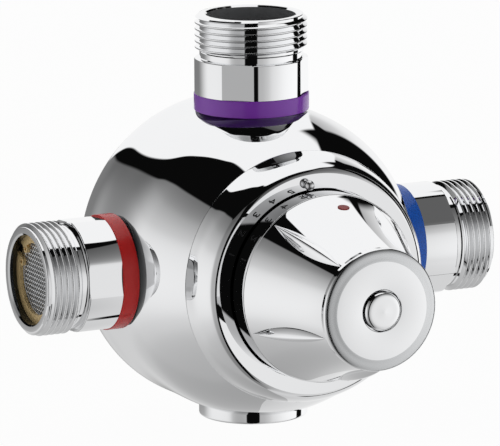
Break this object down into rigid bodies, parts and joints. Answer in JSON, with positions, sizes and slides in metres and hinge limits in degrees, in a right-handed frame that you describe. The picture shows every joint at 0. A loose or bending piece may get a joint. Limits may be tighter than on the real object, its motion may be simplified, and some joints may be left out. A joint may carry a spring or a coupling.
{
  "type": "thermostatic mixing valve",
  "caption": "Chromed body mixing valve with hot and cold side inlets, top outlet, coloured port rings and a ridged temperature knob on the front.",
  "frame": {"origin": "centre of the body's flat rear face, on the knob axis", "axes": "+X towards the cold inlet, -X towards the hot inlet, +Z along the outlet, -Y out of the front through the knob"},
  "size_m": [0.1844, 0.1483, 0.1522],
  "materials": {
    "chrome": "mirror-bright chrome plate",
    "knob_chrome": "mirror-bright chrome plate on the knob, cap and button",
    "outlet_purple": "purple, smooth",
    "hot_red": "red, smooth",
    "cold_blue": "blue, smooth",
    "seal_rubber": "black moulded rubber",
    "mesh_steel": "woven stainless wire",
    "clip_gold": "yellow passivated",
    "spring_steel": "drawn wire and turned steel",
    "inner_plastic": "moulded off-white",
    "inner_brass": "turned",
    "shuttle_plastic": "moulded dark grey"
  },
  "bodies": {
    "valve": {"valve_body": "chrome", "bezel_ring": "chrome", "index_stud": "chrome", "outlet_nipple": "chrome", "hot_nipple": "chrome", "cold_nipple": "chrome", "bottom_plug": "chrome", "outlet_ring": "outlet_purple", "hot_ring": "hot_red", "cold_ring": "cold_blue", "outlet_seal": "seal_rubber", "hot_seal": "seal_rubber", "cold_seal": "seal_rubber", "plug_seal": "seal_rubber", "sleeve_seal_front": "seal_rubber", "sleeve_seal_hot": "seal_rubber", "sleeve_seal_cold": "seal_rubber", "sleeve_seal_rear": "seal_rubber", "hot_strainer": "mesh_steel", "cold_strainer": "mesh_steel", "hot_circlip": "clip_gold", "cold_circlip": "clip_gold", "hot_check_spring": "spring_steel", "cold_check_spring": "spring_steel", "return_spring": "spring_steel", "hot_check_housing": "inner_plastic", "cold_check_housing": "inner_plastic", "stop_ring": "inner_plastic", "cartridge_sleeve": "inner_brass", "bonnet": "inner_brass"},
    "knob": {"knob_shell": "knob_chrome", "knob_cap": "knob_chrome", "knob_screw": "spring_steel", "spindle": "inner_brass", "button_spring": "spring_steel"},
    "button": {"push_button": "knob_chrome", "button_clip": "spring_steel"},
    "shuttle_group": {"shuttle": "shuttle_plastic", "wax_element": "inner_brass", "adjusting_cup": "inner_plastic"},
    "hot_poppet": {"hot_check_poppet": "inner_plastic"},
    "cold_poppet": {"cold_check_poppet": "inner_plastic"}
  },
  "joints": [
    {"name": "knob_turn", "type": "hinge", "parent": "valve", "child": "knob", "pos_m": [0, -0.1, 0], "axis": [0, -1, 0], "range_deg": [-85, 8]},
    {"name": "shuttle_slide", "type": "slide", "parent": "valve", "child": "shuttle_group", "axis": [0, 1, 0], "range_m": [-0.0038, 0.0005], "deforming": ["return_spring"]},
    {"name": "button_press", "type": "slide", "parent": "knob", "child": "button", "axis": [0, 1, 0], "range_m": [0, 0.002], "stiffness_N_per_m": 1500, "springref_m": -0.001, "deforming": ["button_spring"]},
    {"name": "hot_check_open", "type": "slide", "parent": "valve", "child": "hot_poppet", "axis": [1, 0, 0], "range_m": [0, 0.003], "stiffness_N_per_m": 300, "springref_m": -0.002, "deforming": ["hot_check_spring"]},
    {"name": "cold_check_open", "type": "slide", "parent": "valve", "child": "cold_poppet", "axis": [-1, 0, 0], "range_m": [0, 0.003], "stiffness_N_per_m": 300, "springref_m": -0.002, "deforming": ["cold_check_spring"]}
  ],
  "couplings": [
    {"joint": "shuttle_slide", "follows": "knob_turn", "m_per_rad": 0.0025}
  ]
}
